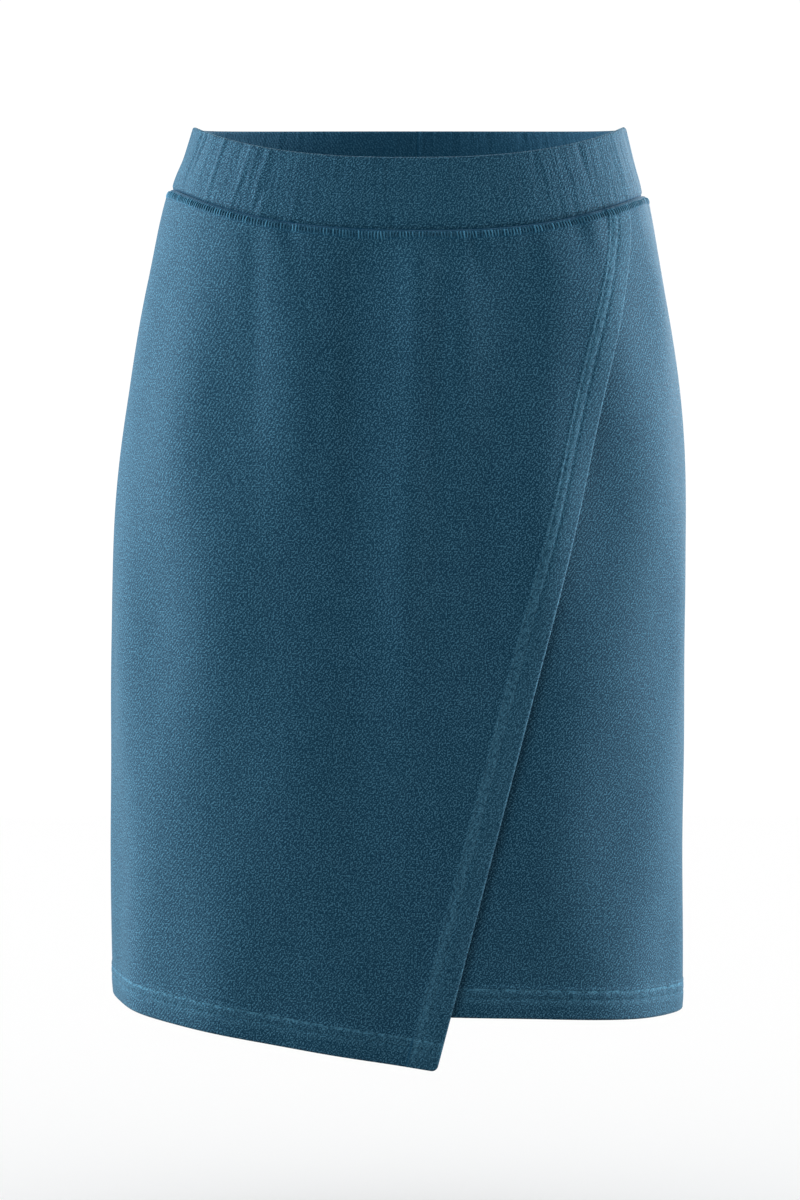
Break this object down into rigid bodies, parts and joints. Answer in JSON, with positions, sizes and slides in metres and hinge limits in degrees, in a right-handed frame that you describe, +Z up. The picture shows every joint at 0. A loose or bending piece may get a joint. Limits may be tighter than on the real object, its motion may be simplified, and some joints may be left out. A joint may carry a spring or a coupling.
{
  "type": "wrap skirt",
  "caption": "Knee-length pencil skirt with a slanting wrap front, pointed overlap hem and gathered elastic waistband, filled out as when worn, open at waist and hem.",
  "frame": {"origin": "middle of the waist, about half-way up the waistband", "axes": "+Z up towards the waistband, -Y out of the front, +X towards a viewer's right hand when they face the front"},
  "size_m": [0.373, 0.2624, 0.6091],
  "materials": {
    "twill": "soft matt cotton twill, garment-dyed petrol blue, paler along folds and stitching",
    "gathered_twill": "the same twill in fine upright gathers over a wide elastic"
  },
  "bodies": {
    "root": {"waistband": "gathered_twill", "back_panel": "twill", "back_hem": "twill", "underlap_panel": "twill", "underlap_hem": "twill", "overlap_panel": "twill", "overlap_facing": "twill", "overlap_hem": "twill"}
  },
  "joints": []
}
